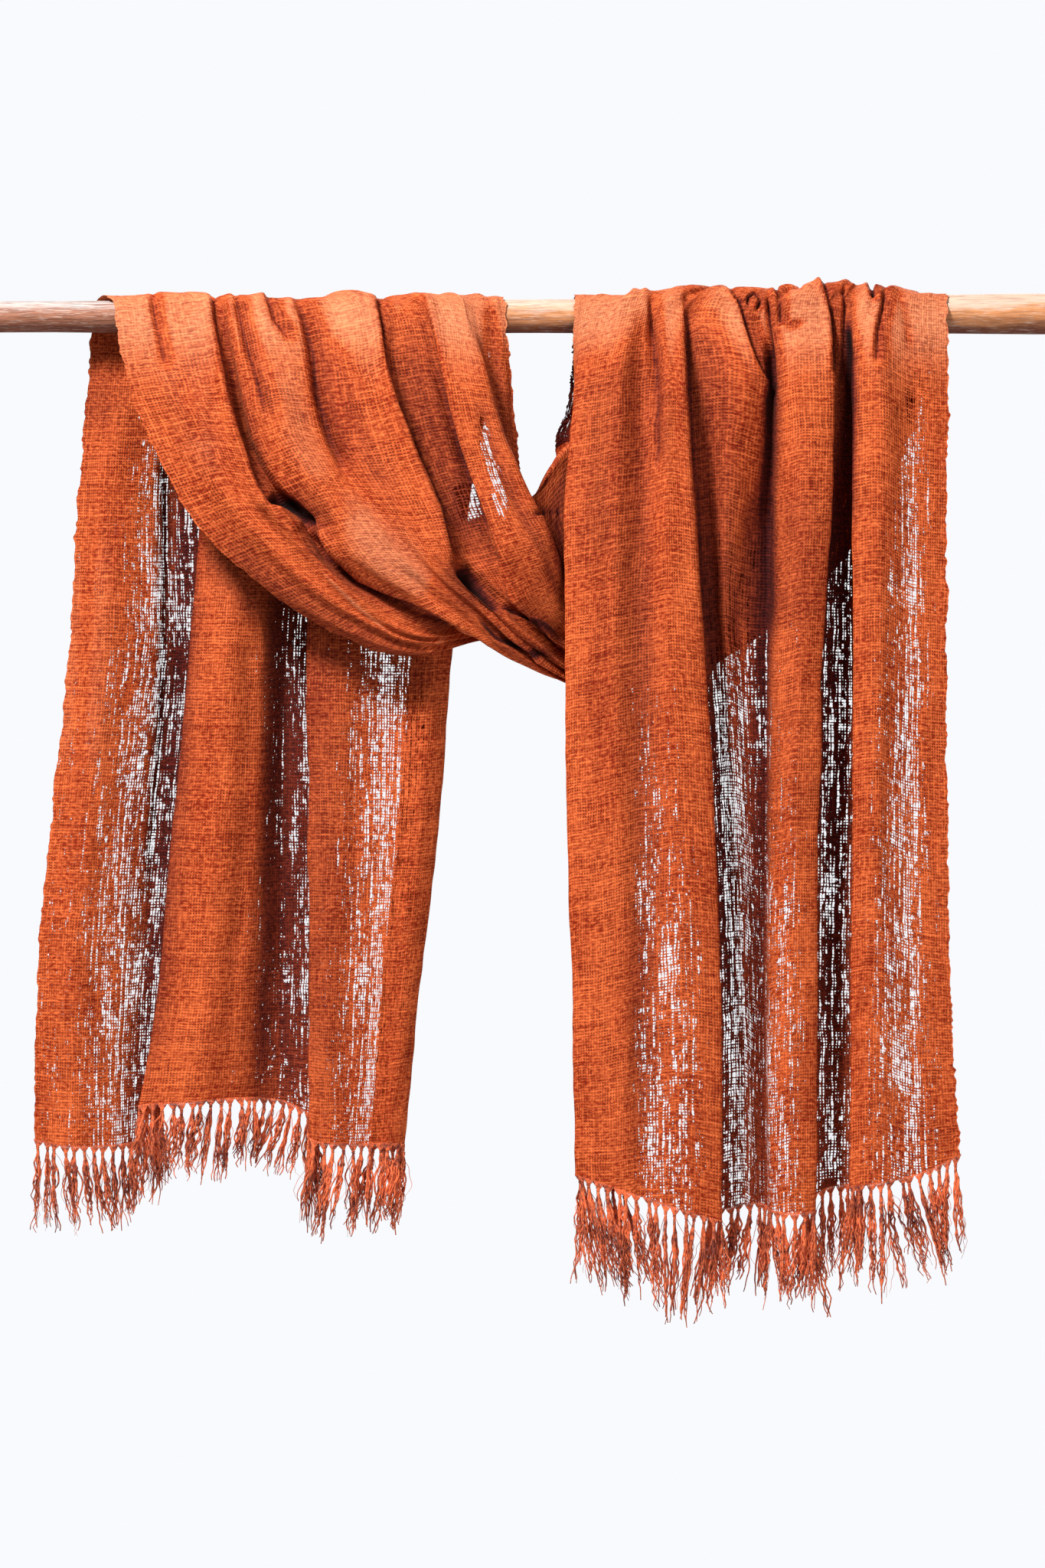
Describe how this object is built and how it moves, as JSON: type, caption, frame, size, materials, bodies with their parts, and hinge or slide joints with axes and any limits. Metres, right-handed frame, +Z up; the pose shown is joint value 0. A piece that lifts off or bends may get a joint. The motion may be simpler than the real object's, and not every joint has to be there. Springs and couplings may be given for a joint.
{
  "type": "silk scarf draped over a wooden rod",
  "caption": "Long open-weave silk scarf with knotted fringes, draped over a plain wooden rod: one end behind it, a deep swag, the other end in front.",
  "frame": {"origin": "middle of the wooden rod, on its axis, where the rod is held", "axes": "+Z up, +X along the rod to the right as seen from the front, and the front of the drape faces -Y"},
  "size_m": [0.9, 0.1018, 0.811],
  "materials": {
    "rod": "bare weathered wood, matt",
    "cloth": "open-weave raw silk, soft low sheen",
    "fringe": "loose silk yarns, knotted at their roots"
  },
  "bodies": {
    "root": {"rod": "rod", "tail_behind": "cloth", "swag": "cloth", "rise": "cloth", "tail_front": "cloth", "fringe_behind": "fringe", "fringe_front": "fringe"}
  },
  "joints": []
}
